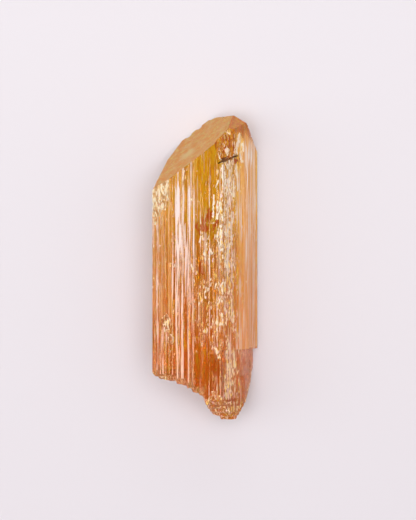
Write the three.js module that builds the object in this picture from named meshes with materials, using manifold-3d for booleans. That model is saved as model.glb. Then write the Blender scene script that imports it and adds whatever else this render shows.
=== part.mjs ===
// Imperial topaz crystal: one natural prism of topaz, lying on a prism face.
// Millimetres, +Z up. The long c axis runs along Y, with the grown point at +Y and the broken end at -Y.
// The origin is on the surface that the crystal rests on, under the middle of its bounding box.

import * as THREE from "three";
import { mergeVertices } from "three/addons/utils/BufferGeometryUtils.js";
import Module from "manifold-3d";

const wasm = await Module();
wasm.setup();

// Driving dimensions
const THICKNESS = 9.2; // from the face it rests on to the face on top
const TIP_Y = 18.35; // the blunt end of the point
const STOCK = 24; // half length of the uncut prism, past both ends

// Corners of the cross-section as [x, z], clockwise from the left edge. The slopes between them are those
// of topaz's two prism forms, whose faces stand 27.9 and 46.6 degrees round from the a axis.
const LEFT_EDGE = [-6.34, 8.6];
const TOP_LEFT = [-4.6, THICKNESS];
const TOP_RIGHT = [2.12, THICKNESS];
const RIGHT_SHOULDER = [5.12, 4.81];
const RIGHT_EDGE = [6.35, 0.41];
const BASE_RIGHT = [5.14, 0];
const BASE_LEFT = [-2.89, 0];
const LEFT_SHOULDER = [-4.66, 2.6];

// Faces of the point: degrees round from straight up, with + to the right, then degrees off the c axis,
// then the face's distance from the origin
const POINT_FACES = {
  largeDome: [-60.9, 41.5, 13.35],
  farDome: [117.8, 43.65, 13.95],
  smallAmberFace: [27.9, 36, 18.12],
  blunt: [0, 0, TIP_Y],
};

// Raised striations on the top face and on the narrow face left of it: left side x, width
const RIBS = [
  [-5.85, 0.2],
  [-4.0, 0.18],
  [-3.56, 0.24],
  [-3.3, 0.24],
  [-2.96, 0.34],
  [-2.12, 0.32],
  [-1.52, 0.18],
  [0.35, 0.18],
  [1.3, 0.18],
];
const RIB_HEIGHT = 0.08;

// Fine grooves along every prism face
const GROOVE_WIDTH = [0.14, 0.4];
const GROOVE_DEPTH = [0.03, 0.11];
const GROOVE_GAP = [0.16, 0.7];
const RESTING_GAP = [0.5, 1.4]; // the face it rests on has broader lands

// Lowest reach of the broken end seen from above, as [x, y] from left to right
const BREAK_OUTLINE = [
  [-6.5, -12.9],
  [-6.1, -13.15],
  [-4.8, -13.55],
  [-3.6, -13.7],
  [-2.6, -14.0],
  [-1.5, -14.8],
  [-0.5, -15.4],
  [-0.25, -15.75],
  [-0.1, -16.4],
  [0.2, -17.4],
  [1.2, -17.95],
  [1.9, -18.3],
  [3.7, -18.3],
  [4.1, -17.6],
  [4.7, -16.5],
  [5.3, -15.3],
  [5.6, -14.0],
  [6.5, -13.3],
];
const BREAK_UNDERCUT = 0.2; // how far the left half runs back for each mm of depth
const KNOB = { left: -0.3, full: 0.9, height: 4.4, overhang: 2.3, undercut: 0.3 };
const BREAK_CELL = 0.55;
const BREAK_ROUGHNESS = 0.28;
const CLEAVAGE_STEP = 0.5; // topaz breaks in flat steps across the c axis
const CLEAVAGE_SHARE = 0.65;

// The strips that have split off the lower right: the face's two corners, upper end, lower end, depth
const SPLITS = [
  [RIGHT_SHOULDER, RIGHT_EDGE, -9.95, -13.1, 0.55],
  [RIGHT_SHOULDER, RIGHT_EDGE, -13.1, -STOCK, 0.3],
  [TOP_RIGHT, RIGHT_SHOULDER, -9.85, -STOCK, 0.2],
];

// The broken corner under the peak: its floor sinks towards a crack that runs across the edge
const BROKEN_CORNER = { size: [3.4, 4.2, 2], at: [3.1, 12.95, 7.85], tilt: [6, 32, 24] };

// Conchoidal chips: centre, then half widths
const CHIPS = [
  { at: [-5.7, 8.5, 9.5], size: [1.55, 2.8, 1.0] }, // the cream-coloured scar on the upper left corner
  { at: [-6.5, 10.3, 8.6], size: [0.5, 0.8, 0.8] },
  { at: [4.45, 14.9, 6.5], size: [0.35, 1.9, 0.75] }, // the long bright scar beside the point
  { at: [-4.9, -6.7, 9.5], size: [0.8, 1.3, 0.6] },
  { at: [-4.15, -8.6, 9.6], size: [0.45, 0.8, 0.55] },
  { at: [-5.4, -13.4, 9.4], size: [0.9, 0.7, 0.6] },
  { at: [-6.7, -13.0, 8.0], size: [0.8, 0.6, 1.4] },
  { at: [-2.15, 16.35, -0.1], size: [0.5, 0.75, 0.9] }, // notches along the far edge of the large dome face
  { at: [-0.95, 17.5, -0.1], size: [0.55, 0.7, 1.1] },
  { at: [-3.9, 13.9, 0.3], size: [0.6, 0.9, 0.9] },
  { at: [0.35, 18.6, 0.2], size: [1.1, 0.55, 1.3] },
  { at: [1.95, 18.75, 3.1], size: [0.45, 0.75, 0.8] },
  { at: [-5.0, -9.0, 2.2], size: [0.5, 1.4, 0.9] },
  { at: [5.7, 6.0, -0.1], size: [0.9, 1.5, 0.5] },
  { at: [5.6, -5.0, -0.1], size: [0.7, 0.8, 0.5] },
  { at: [-3.6, -1.5, 0.2], size: [0.8, 1.1, 0.8] },
];
const CHIP_ROUGHNESS = 0.16;

// Small chips strewn along the splintered edge right of the top face
const SPLINTERS = { count: 44, top: 11.8, bottom: -15, halfLength: [0.5, 1.9], halfWidth: [0.12, 0.4] };

// A repeatable stream of numbers from 0 to 1
function randomFrom(seed) {
  let state = seed;
  return () => {
    state = (state + 0x6d2b79f5) | 0;
    let t = Math.imul(state ^ (state >>> 15), 1 | state);
    t = (t + Math.imul(t ^ (t >>> 7), 61 | t)) ^ t;
    return ((t ^ (t >>> 14)) >>> 0) / 4294967296;
  };
}

const between = (random, [low, high]) => low + (high - low) * random();

// The closed solid of a three.js geometry
function solidOf(geometry) {
  const bare = geometry.index ? geometry.toNonIndexed() : geometry.clone();
  bare.deleteAttribute("normal");
  bare.deleteAttribute("uv");
  const merged = mergeVertices(bare, 1e-4);
  return new wasm.Manifold(
    new wasm.Mesh({
      numProp: 3,
      vertProperties: merged.attributes.position.array,
      triVerts: new Uint32Array(merged.index.array),
    }),
  );
}

// The three.js geometry of a closed solid
function geometryOf(solid) {
  const { numProp, numVert, vertProperties, triVerts } = solid.getMesh();
  const points = new Float32Array(numVert * 3);
  for (let i = 0; i < numVert; i++) {
    points.set(vertProperties.subarray(i * numProp, i * numProp + 3), i * 3);
  }
  const geometry = new THREE.BufferGeometry();
  geometry.setAttribute("position", new THREE.BufferAttribute(points, 3));
  geometry.setIndex(new THREE.BufferAttribute(new Uint32Array(triVerts), 1));
  const faceted = geometry.toNonIndexed();
  faceted.computeVertexNormals();
  return faceted;
}

// Points along one side of the cross-section, with fine grooves cut into it. inward is to the right of the
// way from one corner to the next.
function groovedSide(from, to, random, gap = GROOVE_GAP) {
  const start = new THREE.Vector2(...from);
  const way = new THREE.Vector2(...to).sub(start);
  const length = way.length();
  way.normalize();
  const inward = new THREE.Vector2(way.y, -way.x);
  const at = (along, deep) =>
    start.clone().addScaledVector(way, along).addScaledVector(inward, deep);
  const points = [start];
  let along = between(random, gap);
  for (;;) {
    const width = between(random, GROOVE_WIDTH);
    const depth = between(random, GROOVE_DEPTH);
    const steep = 0.2 + 0.6 * random();
    if (along + width > length - gap[0]) return points;
    points.push(at(along, 0), at(along + width * steep, depth), at(along + width, 0));
    along += width + between(random, gap);
  }
}

// Points along one side that has raised ribs as well as grooves
function ribbedSide(from, to, random) {
  const slope = (to[1] - from[1]) / (to[0] - from[0]);
  const onSide = (x, above = 0) => [x, from[1] + slope * (x - from[0]) + above];
  const points = [];
  let last = from;
  for (const [x, width] of RIBS.filter(([x]) => x > from[0] && x < to[0])) {
    points.push(...groovedSide(last, onSide(x), random));
    points.push(new THREE.Vector2(...onSide(x)));
    points.push(new THREE.Vector2(...onSide(x + 0.55 * width, RIB_HEIGHT)));
    last = onSide(x + width);
  }
  return [...points, ...groovedSide(last, to, random)];
}

// The uncut prism: the striated cross-section drawn out along Y
function prism() {
  const random = randomFrom(7);
  const outline = [
    ...ribbedSide(LEFT_EDGE, TOP_LEFT, random),
    ...ribbedSide(TOP_LEFT, TOP_RIGHT, random),
    ...groovedSide(TOP_RIGHT, RIGHT_SHOULDER, random),
    ...groovedSide(RIGHT_SHOULDER, RIGHT_EDGE, random),
    ...groovedSide(RIGHT_EDGE, BASE_RIGHT, random),
    ...groovedSide(BASE_RIGHT, BASE_LEFT, randomFrom(8), RESTING_GAP),
    ...groovedSide(BASE_LEFT, LEFT_SHOULDER, random),
    ...groovedSide(LEFT_SHOULDER, LEFT_EDGE, random),
  ];
  const drawn = new THREE.ExtrudeGeometry(new THREE.Shape(outline), {
    depth: 2 * STOCK,
    bevelEnabled: false,
  });
  drawn.rotateX(Math.PI / 2).translate(0, STOCK, 0);
  return solidOf(drawn);
}

// The unit vector a number of degrees round from straight up and a number of degrees off the c axis
function direction(round, offAxis) {
  const a = THREE.MathUtils.degToRad(round);
  const s = THREE.MathUtils.degToRad(offAxis);
  return new THREE.Vector3(Math.sin(s) * Math.sin(a), Math.cos(s), Math.sin(s) * Math.cos(a));
}

// Everything outside one flat face
function beyond(normal, distance) {
  const block = new THREE.BoxGeometry(2 * STOCK, 2 * STOCK, STOCK).translate(0, 0, STOCK / 2);
  const turn = new THREE.Quaternion().setFromUnitVectors(new THREE.Vector3(0, 0, 1), normal);
  const place = normal.clone().multiplyScalar(distance);
  return solidOf(block.applyQuaternion(turn).translate(place.x, place.y, place.z));
}

// The height of a line through [x, y] points
function alongLine(line, x) {
  const next = Math.min(Math.max(line.findIndex((p) => p[0] > x), 1), line.length - 1);
  const [[x0, y0], [x1, y1]] = [line[next - 1], line[next]];
  return THREE.MathUtils.mapLinear(THREE.MathUtils.clamp(x, x0, x1), x0, x1, y0, y1);
}

// Where the broken end lies at a place in the cross-section. The left half is deepest at the top and runs
// back below it. The knob at the right runs back to the top face as well.
function breakY(x, z) {
  const below = Math.max(KNOB.height - z, 0);
  const above = Math.max(z - KNOB.height, 0) / (THICKNESS - KNOB.height);
  const left = BREAK_UNDERCUT * (THICKNESS - z);
  const knob = KNOB.undercut * below + KNOB.overhang * above * above;
  const knobShare = THREE.MathUtils.smoothstep(x, KNOB.left, KNOB.full);
  const smooth = alongLine(BREAK_OUTLINE, x) + THREE.MathUtils.lerp(left, knob, knobShare);
  const stepped = Math.round(smooth / CLEAVAGE_STEP) * CLEAVAGE_STEP;
  return THREE.MathUtils.lerp(smooth, stepped, CLEAVAGE_SHARE);
}

// Everything past the broken end: a block whose near side is the rough break
function beyondTheBreak() {
  const random = randomFrom(23);
  const columns = Math.ceil((2 * 7.2) / BREAK_CELL);
  const rows = Math.ceil((THICKNESS + 2) / BREAK_CELL);
  const near = [];
  const far = [];
  for (let j = 0; j <= rows; j++) {
    for (let i = 0; i <= columns; i++) {
      const x = -7.2 + (i + 0.5 * (random() - 0.5)) * BREAK_CELL;
      const z = -1 + (j + 0.5 * (random() - 0.5)) * BREAK_CELL;
      near.push([x, breakY(x, z) + BREAK_ROUGHNESS * random(), z]);
      far.push([x, -STOCK - 2, z]);
    }
  }
  const index = [];
  const width = columns + 1;
  const quad = (a, b, c, d) => index.push(a, b, c, a, c, d);
  for (let j = 0; j < rows; j++) {
    for (let i = 0; i < columns; i++) {
      const a = j * width + i;
      quad(a, a + width, a + width + 1, a + 1);
      quad(near.length + a, near.length + a + 1, near.length + a + width + 1, near.length + a + width);
    }
  }
  const rim = [];
  for (let i = 0; i < columns; i++) rim.push(i);
  for (let j = 0; j < rows; j++) rim.push(j * width + columns);
  for (let i = columns; i > 0; i--) rim.push(rows * width + i);
  for (let j = rows; j > 0; j--) rim.push(j * width);
  rim.forEach((a, i) => {
    const b = rim[(i + 1) % rim.length];
    quad(a, b, near.length + b, near.length + a);
  });
  const block = new THREE.BufferGeometry();
  block.setAttribute("position", new THREE.Float32BufferAttribute([...near, ...far].flat(), 3));
  block.setIndex(index);
  return solidOf(block);
}

// A strip split off a face, from its upper end down to a lower end
function splitStrip([from, to, top, bottom, depth]) {
  const way = new THREE.Vector2(to[0] - from[0], to[1] - from[1]).normalize();
  const block = new THREE.BoxGeometry(4, top - bottom, 16);
  block.translate(2, 0, 0).rotateY(-Math.atan2(way.x, -way.y));
  const inward = new THREE.Vector2(way.y, -way.x).multiplyScalar(depth);
  return solidOf(block.translate(to[0] + inward.x, (top + bottom) / 2, to[1] + inward.y));
}

// The block that takes out the broken corner. It is placed by its lower end.
function brokenCorner() {
  const { size, at, tilt } = BROKEN_CORNER;
  const block = new THREE.BoxGeometry(...size).translate(0, size[1] / 2, size[2] / 2);
  const turn = new THREE.Euler(...tilt.map((angle) => THREE.MathUtils.degToRad(angle)), "ZYX");
  return solidOf(block.applyQuaternion(new THREE.Quaternion().setFromEuler(turn)).translate(...at));
}

// One chip: a lumpy ball, pressed to its half widths
function chip({ at, size }, random) {
  const bare = new THREE.IcosahedronGeometry(1, 1).deleteAttribute("normal").deleteAttribute("uv");
  const ball = mergeVertices(bare);
  const point = new THREE.Vector3();
  const place = ball.attributes.position;
  for (let i = 0; i < place.count; i++) {
    point.fromBufferAttribute(place, i).multiplyScalar(1 - CHIP_ROUGHNESS * random());
    place.setXYZ(i, point.x, point.y, point.z);
  }
  return solidOf(ball.rotateZ(6.3 * random()).scale(...size).translate(...at));
}

// The chips along the splintered edge
function splinters() {
  const random = randomFrom(67);
  const { count, top, bottom, halfLength, halfWidth } = SPLINTERS;
  return Array.from({ length: count }, (_, i) => {
    const y = THREE.MathUtils.lerp(top, bottom, (i + 0.8 * random()) / count);
    const wide = between(random, halfWidth);
    const at = [TOP_RIGHT[0] - 0.2 + 0.7 * random(), y, THICKNESS + 0.1 * random()];
    return chip({ at, size: [wide, between(random, halfLength), 0.9 * wide] }, random);
  });
}

// A short groove along the crystal with pointed ends, on the side between two corners
function shortGroove(from, to, random) {
  const way = new THREE.Vector2(to[0] - from[0], to[1] - from[1]);
  const place = 0.08 + 0.84 * random();
  const long = 1.5 + 5 * random();
  const groove = new THREE.OctahedronGeometry(1).scale(0.09 + 0.12 * random(), long, 0.07 + 0.1 * random());
  groove.rotateY(-Math.atan2(way.y, way.x));
  return solidOf(groove.translate(from[0] + way.x * place, -12 + 24 * random(), from[1] + way.y * place));
}

// Short grooves on every side but the one that the crystal rests on
function shortGrooves() {
  const random = randomFrom(41);
  const sides = [
    [TOP_LEFT, TOP_RIGHT, 14],
    [TOP_RIGHT, RIGHT_SHOULDER, 9],
    [RIGHT_SHOULDER, RIGHT_EDGE, 8],
    [BASE_LEFT, LEFT_SHOULDER, 5],
    [LEFT_SHOULDER, LEFT_EDGE, 10],
  ];
  return sides.flatMap(([from, to, count]) =>
    Array.from({ length: count }, () => shortGroove(from, to, random)),
  );
}

function crystal() {
  const chipRandom = randomFrom(11);
  const taken = [
    ...Object.values(POINT_FACES).map(([round, offAxis, distance]) =>
      beyond(direction(round, offAxis), distance),
    ),
    beyondTheBreak(),
    ...SPLITS.map(splitStrip),
    brokenCorner(),
    ...CHIPS.map((one) => chip(one, chipRandom)),
    ...splinters(),
    ...shortGrooves(),
  ];
  return taken.reduce((left, piece) => left.subtract(piece), prism());
}

const topaz = new THREE.MeshStandardMaterial({ color: 0xd98a45, roughness: 0.25, metalness: 0 });
const mesh = new THREE.Mesh(geometryOf(crystal()), topaz);
mesh.name = "crystal";

const group = new THREE.Group();
group.add(mesh);

export default group;
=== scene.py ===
import math

import bmesh
import bpy
import numpy as np
from mathutils import Euler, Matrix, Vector, noise
from mathutils.bvhtree import BVHTree


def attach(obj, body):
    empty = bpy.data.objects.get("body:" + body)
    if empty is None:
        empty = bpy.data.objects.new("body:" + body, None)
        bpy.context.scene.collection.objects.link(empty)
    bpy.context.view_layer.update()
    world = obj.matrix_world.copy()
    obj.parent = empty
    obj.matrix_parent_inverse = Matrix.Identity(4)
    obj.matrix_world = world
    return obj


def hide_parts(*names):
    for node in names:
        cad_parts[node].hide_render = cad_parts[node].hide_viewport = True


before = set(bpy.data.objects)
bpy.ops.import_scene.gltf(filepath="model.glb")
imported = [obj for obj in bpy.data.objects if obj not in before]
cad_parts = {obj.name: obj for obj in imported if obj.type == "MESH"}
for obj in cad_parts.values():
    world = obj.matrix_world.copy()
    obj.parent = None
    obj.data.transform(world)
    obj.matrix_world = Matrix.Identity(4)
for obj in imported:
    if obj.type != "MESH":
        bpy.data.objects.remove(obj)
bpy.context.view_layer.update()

# The looks of an imperial topaz crystal, in millimetres until the meshes are made. X is across the crystal,
# Y runs along its c axis to the grown point, and Z is up.

MM = 0.001

# Cross-section corners as (x, z), clockwise from the left edge
THICKNESS = 9.2  # at the top face
LEFT_EDGE = (-6.34, 8.6)
TOP_LEFT = (-4.6, THICKNESS)
TOP_RIGHT = (2.12, THICKNESS)
RIGHT_SHOULDER = (5.12, 4.81)
RIGHT_EDGE = (6.35, 0.41)
BASE_RIGHT = (5.14, 0.0)
BASE_LEFT = (-2.89, 0.0)
LEFT_SHOULDER = (-4.66, 2.6)

# Faces of the point: degrees round from straight up, degrees off the c axis, distance from the origin
LARGE_DOME = (-60.9, 41.5, 13.35)
FAR_DOME = (117.8, 43.65, 13.95)
AMBER_FACE = (27.9, 36.0, 18.12)
BLUNT_END = (0.0, 0.0, 18.35)

# Lowest reach of the broken end seen from above, as (x, y)
BREAK_OUTLINE = [
    (-6.5, -12.9), (-6.1, -13.15), (-4.8, -13.55), (-3.6, -13.7), (-2.6, -14.0), (-1.5, -14.8),
    (-0.5, -15.4), (-0.25, -15.75), (-0.1, -16.4), (0.2, -17.4), (1.2, -17.95), (1.9, -18.3),
    (3.7, -18.3), (4.1, -17.6), (4.7, -16.5), (5.3, -15.3), (5.6, -14.0), (6.5, -13.3),
]

# Camera: straight above the crystal, as far off as the photo's perspective asks
CAMERA_XY = (0.286, 0.88)
CAMERA_HEIGHT = 250.0
FRAME_HEIGHT = 61.78  # of the photo's frame, measured at the top face


def smooth_step(x, low, high):
    t = np.clip((x - low) / (high - low), 0, 1)
    return t * t * (3 - 2 * t)


def bump(x, low, high, soft):
    """1 between low and high, falling to 0 within soft outside them."""
    return smooth_step(x, low - soft, low) * (1 - smooth_step(x, high, high + soft))


def value_noise(x, y, seed):
    """Smooth noise from -1 to 1 on arrays, one cell to the unit."""
    rng = np.random.default_rng(seed)
    table = rng.uniform(-1, 1, (256, 256))
    xi, yi = np.floor(x).astype(int), np.floor(y).astype(int)
    fx, fy = x - xi, y - yi
    fx, fy = fx * fx * (3 - 2 * fx), fy * fy * (3 - 2 * fy)

    def corner(i, j):
        return table[(xi + i) % 256, (yi + j) % 256]

    low = corner(0, 0) * (1 - fx) + corner(1, 0) * fx
    high = corner(0, 1) * (1 - fx) + corner(1, 1) * fx
    return low * (1 - fy) + high * fy


def facets(x, y, seed, tilt=1.0):
    """Noise made of small flat facets, each tilted its own way, one cell to the unit."""
    rng = np.random.default_rng(seed)
    jitter = rng.uniform(0.1, 0.9, (64, 64, 2))
    lean = rng.uniform(-tilt, tilt, (64, 64, 2))
    level = rng.uniform(-0.5, 0.5, (64, 64))
    xi, yi = np.floor(x).astype(int), np.floor(y).astype(int)
    best = np.full(x.shape, 1e9)
    height = np.zeros(x.shape)
    for i in (-1, 0, 1):
        for j in (-1, 0, 1):
            a, b = (xi + i) % 64, (yi + j) % 64
            dx = x - (xi + i + jitter[a, b, 0])
            dy = y - (yi + j + jitter[a, b, 1])
            far = dx * dx + dy * dy
            near = far < best
            height = np.where(near, level[a, b] + lean[a, b, 0] * dx + lean[a, b, 1] * dy, height)
            best = np.where(near, far, best)
    return height


def striae(t, y, count, width, slope, length, seed):
    """Depth of straight grooves along the crystal, with V sides and tapering ends, on a grid of y by t."""
    rng = np.random.default_rng(seed)
    depth = np.zeros((len(y), len(t)))
    for _ in range(count):
        centre = rng.uniform(t[0], t[-1])
        half = rng.uniform(*width)
        lean = rng.uniform(-0.7, 0.7)
        middle = rng.uniform(-20, 20)
        reach = rng.uniform(*length)
        x = (t - centre) / half
        side = np.where(x < lean, (x + 1) / (1 + lean), (1 - x) / (1 - lean))
        along = np.clip((reach - np.abs(y - middle)) / (0.25 * reach + 0.3), 0, 1)
        depth += half * rng.uniform(*slope) * np.outer(along, np.clip(side, 0, 1))
    return depth


def mesh_object(name, points, faces):
    mesh = bpy.data.meshes.new(name)
    mesh.from_pydata([tuple(p) for p in np.asarray(points) * MM], [], faces)
    bm = bmesh.new()
    bm.from_mesh(mesh)
    bmesh.ops.recalc_face_normals(bm, faces=bm.faces)
    bm.to_mesh(mesh)
    bm.free()
    obj = bpy.data.objects.new(name, mesh)
    bpy.context.scene.collection.objects.link(obj)
    return obj


# The prism with its striations

# Rows of points along the crystal
ROWS = np.arange(-19.2, 19.3, 0.25)

# The bright bands along the top face as (left, right, slant off the face); cut into the relief, and painted
# with pale highlight lines too
BANDS = [
    (-4.0, -3.84, 0.12), (-3.56, -3.32, 0.12), (-3.3, -3.06, -0.12), (-2.96, -2.62, 0.11),
    (-2.12, -1.8, 0.13), (-1.52, -1.34, -0.1), (-0.66, -0.56, 0.1), (0.35, 0.5, 0.1), (1.3, 1.42, -0.1),
]

# A painted highlight line like the bands, of colour alone, along the left edge
EDGE_HIGHLIGHT_BAND = (-5.85, -5.65, 0.12)

SPLINTER_SEED = 5


def clear_share(x, y):
    """How clear and calm the top face is: 1 under the dome's edge, less in three places further down."""
    wander = 0.5 * value_noise(x / 0.35, y / 2.5, 7) + 0.3 * value_noise(x / 0.15, y / 1.2, 8)
    upper = bump(x + wander, -1.0, 1.0, 0.6) * bump(y + 3 * wander, 10.8, 19, 1.5)
    lower = bump(x + wander, -1.2, 1.2, 0.6) * bump(y + 3 * wander, -13.5, -10, 1.0)
    middle = 0.6 * bump(x + wander, -0.9, 0.9, 0.5) * bump(y + 2 * wander, 3.6, 6.6, 1.0)
    spot = bump(x + wander, -0.9, -0.2, 0.4) * bump(y + 2 * wander, -1.2, 0.6, 0.8)
    return np.maximum(upper, 0.8 * np.maximum(lower, np.maximum(middle, spot)))


def top_relief(t, y):
    """Depth below the top face: bands and fine striae, and the splintered band along the right edge."""
    x = TOP_LEFT[0] + t
    depth = striae(t, y, 60, (0.05, 0.2), (0.01, 0.07), (10, 40), 1)
    busy = np.outer(1 - bump(y, -20, -6, 2), bump(x, -4.6, -1.3, 0.3)) + 0.15
    depth += striae(t, y, 160, (0.04, 0.12), (0.04, 0.25), (1, 6), 2) * busy
    for left, right, slant in BANDS:
        place = np.clip((x - left) / (right - left), 0, 1)
        rise = place if slant > 0 else 1 - place
        inside = (x > left) & (x < right)
        depth -= np.where(inside, rise, 0) * abs(slant) * (right - left)
    grid_x, grid_y = np.meshgrid(x, y)
    return depth * (1 - 0.85 * clear_share(grid_x, grid_y)) + splintered(grid_x, grid_y)


def splintered(x, y):
    """Depth of the fracture band that follows the right edge of the top face."""
    seed = SPLINTER_SEED
    wander = 0.5 * value_noise(x * 0 + 1.5, y / 2.2, seed) + 0.35 * value_noise(x / 0.5, y / 1.4, seed + 1)
    band = bump(x + wander, 1.55, 4.6, 0.25) * bump(y, -16, 13.2, 1.0)
    patch = smooth_step(value_noise(x / 0.9, y / 2.8, seed + 2), -0.55, 0.15)
    rough = 0.06 + 0.07 * facets(x / 0.5, y / 1.3, seed + 3)
    rough += 0.03 * value_noise(x / 0.2, y / 0.7, seed + 4)
    calm = bump(x + 0.5 * wander, 0.6, 2.2, 0.5) * bump(y, -14.3, -10.5, 0.8)
    return band * patch * np.clip(rough, 0, 0.3) * (1 - 0.75 * calm)


# How far across the slope right of the top face goes for each millimetre along it
SLOPE_SHARE = 0.564


def upper_right_relief(t, y):
    """Depth below the slope right of the top face."""
    x = TOP_RIGHT[0] + t * SLOPE_SHARE
    depth = striae(t, y, 46, (0.06, 0.2), (0.1, 0.3), (10, 40), 11)
    depth += striae(t, y, 70, (0.04, 0.14), (0.1, 0.3), (1, 6), 12)
    grid_x, grid_y = np.meshgrid(x, y)
    return depth + splintered(grid_x, grid_y) * (1 - smooth_step(grid_x, 3.2, 4.6))


def plain_relief(count, seed, steep=(0.12, 0.3)):
    """Relief of a hidden or narrow face: long and short striae, count of each."""
    def relief(t, y):
        depth = striae(t, y, count, (0.06, 0.24), (0.15, 0.34), (8, 40), seed)
        return depth + striae(t, y, count, (0.05, 0.15), steep, (1, 6), seed + 1)
    return relief


def left_relief(t, y):
    """Depth below the narrow slope left of the top face."""
    depth = striae(t, y, 16, (0.06, 0.16), (0.25, 0.45), (8, 40), 21)
    return depth + striae(t, y, 60, (0.04, 0.14), (0.25, 0.45), (1, 5), 22)


# Sides of the cross-section as (start, end, step between points, relief)
SIDES = [
    (LEFT_EDGE, TOP_LEFT, 0.055, left_relief),
    (TOP_LEFT, TOP_RIGHT, 0.052, top_relief),
    (TOP_RIGHT, RIGHT_SHOULDER, 0.06, upper_right_relief),
    (RIGHT_SHOULDER, RIGHT_EDGE, 0.08, plain_relief(30, 31)),
    (RIGHT_EDGE, BASE_RIGHT, 0.1, plain_relief(8, 33)),
    (BASE_RIGHT, BASE_LEFT, 0.06, plain_relief(50, 35, (0.6, 1.1))),
    (BASE_LEFT, LEFT_SHOULDER, 0.09, plain_relief(18, 37)),
    (LEFT_SHOULDER, LEFT_EDGE, 0.08, plain_relief(36, 39)),
]


# How far from each edge of the prism the relief starts
EDGE_LAND = 0.12


def prism():
    """The closed prism, longer than the crystal at both ends."""
    columns = []
    for start, end, step, relief in SIDES:
        start, end = np.array(start), np.array(end)
        length = np.linalg.norm(end - start)
        way = (end - start) / length
        outward = np.array([-way[1], way[0]])
        t = np.linspace(0, length, round(length / step) + 1)[:-1]
        edge = smooth_step(t, 0, EDGE_LAND) * (1 - smooth_step(t, length - EDGE_LAND, length))
        depth = np.clip(relief(t, ROWS), -0.08, 0.5) * edge
        x = start[0] + way[0] * t - outward[0] * depth
        z = start[1] + way[1] * t - outward[1] * depth
        columns.append(np.stack([x, np.repeat(ROWS[:, None], len(t), 1), z], -1))
    grid = np.concatenate(columns, 1)
    rows, around = grid.shape[:2]
    index = np.arange(rows * around).reshape(rows, around)
    beside = np.roll(index, -1, 1)
    quads = np.stack([index[:-1], beside[:-1], beside[1:], index[1:]], -1).reshape(-1, 4)
    faces = [tuple(q) for q in quads.tolist()]
    faces += [tuple(index[0].tolist()), tuple(index[-1][::-1].tolist())]
    return mesh_object("topaz", grid.reshape(-1, 3), faces)


# Cutters for the faces of the point, the break and the damage

MID_HEIGHT = THICKNESS / 2
KNOB_HEIGHT = 4.4  # where the broken end reaches furthest
BREAK_PLANE = -19  # the y that the break is cut from
CLEAVAGE_STEP = 0.5
SPLIT_TOP = -9.9  # the y where the split strips begin


def slab(name, origin, normal, across, size, step, relief=None, thick=12.0):
    """A closed block on the outer side of a face, whose depth relief gives at places across and along it."""
    normal = Vector(normal).normalized()
    across = (Vector(across) - Vector(across).dot(normal) * normal).normalized()
    along = normal.cross(across)
    u = np.linspace(-size[0] / 2, size[0] / 2, max(2, round(size[0] / step)))
    v = np.linspace(-size[1] / 2, size[1] / 2, max(2, round(size[1] / step)))
    gu, gv = np.meshgrid(u, v)
    depth = relief(gu, gv) if relief else np.zeros(gu.shape)
    base = np.array(origin) + gu[..., None] * np.array(across) + gv[..., None] * np.array(along)
    front = base - depth[..., None] * np.array(normal)
    back = base + thick * np.array(normal)
    rows, columns = gu.shape
    near = np.arange(rows * columns).reshape(rows, columns)
    far = near + rows * columns
    faces = []
    for sheet in (near, far):
        quads = np.stack([sheet[:-1, :-1], sheet[:-1, 1:], sheet[1:, 1:], sheet[1:, :-1]], -1)
        faces += quads.reshape(-1, 4).tolist()
    rim = np.concatenate([near[0, :-1], near[:-1, -1], near[-1, :0:-1], near[:0:-1, 0]])
    after = np.roll(rim, -1)
    faces += np.stack([rim, after, after + rows * columns, rim + rows * columns], -1).tolist()
    return mesh_object(name, np.concatenate([front.reshape(-1, 3), back.reshape(-1, 3)]), faces)


def face_normal(face):
    turn, off = math.radians(face[0]), math.radians(face[1])
    return Vector((math.sin(off) * math.sin(turn), math.cos(off), math.sin(off) * math.cos(turn)))


def point_face(name, face, step, relief=None):
    """The slab beyond one face of the point, centred on the crystal."""
    normal = face_normal(face)
    middle = Vector((0.4, 0, MID_HEIGHT))
    middle.y = (face[2] - normal.x * middle.x - normal.z * middle.z) / normal.y
    return slab(name, middle, normal, (1, 0, 0), (30, 30), step, relief)


def dome_relief(u, v):
    """Depth of the dome's frosted surface."""
    mottle = 0.02 * value_noise(u / 1.1, v / 1.1, 51) + 0.012 * value_noise(u / 0.5, v / 0.5, 52)
    return 0.012 + mottle + 0.006 * value_noise(u / 0.22, v / 0.22, 53)


def break_y(x, z):
    """Where the broken end lies at a place in the cross-section. It slopes back above the knob and under it,
    in cleavage steps."""
    outline = np.interp(x, *zip(*BREAK_OUTLINE))
    left = 0.2 * (THICKNESS - z)
    above = np.clip((z - KNOB_HEIGHT) / (THICKNESS - KNOB_HEIGHT), 0, 1)
    knob = 0.3 * np.clip(KNOB_HEIGHT - z, 0, None) + 2.3 * above * above
    share = smooth_step(x, -0.3, 0.9)
    smooth = outline + left * (1 - share) + knob * share
    stepped = np.round(smooth / CLEAVAGE_STEP) * CLEAVAGE_STEP
    return smooth + 0.6 * (stepped - smooth)


def break_relief(u, v):
    """Depth of the rough break into the crystal, from the plane it is cut from."""
    x, z = u, v + MID_HEIGHT
    rough = 0.14 * facets(x / 1.0, z / 0.8, 61) + 0.05 * facets(x / 0.4, z / 0.33, 62)
    return break_y(x, z) - BREAK_PLANE + 0.12 + np.clip(rough, -0.12, 0.5)


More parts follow.
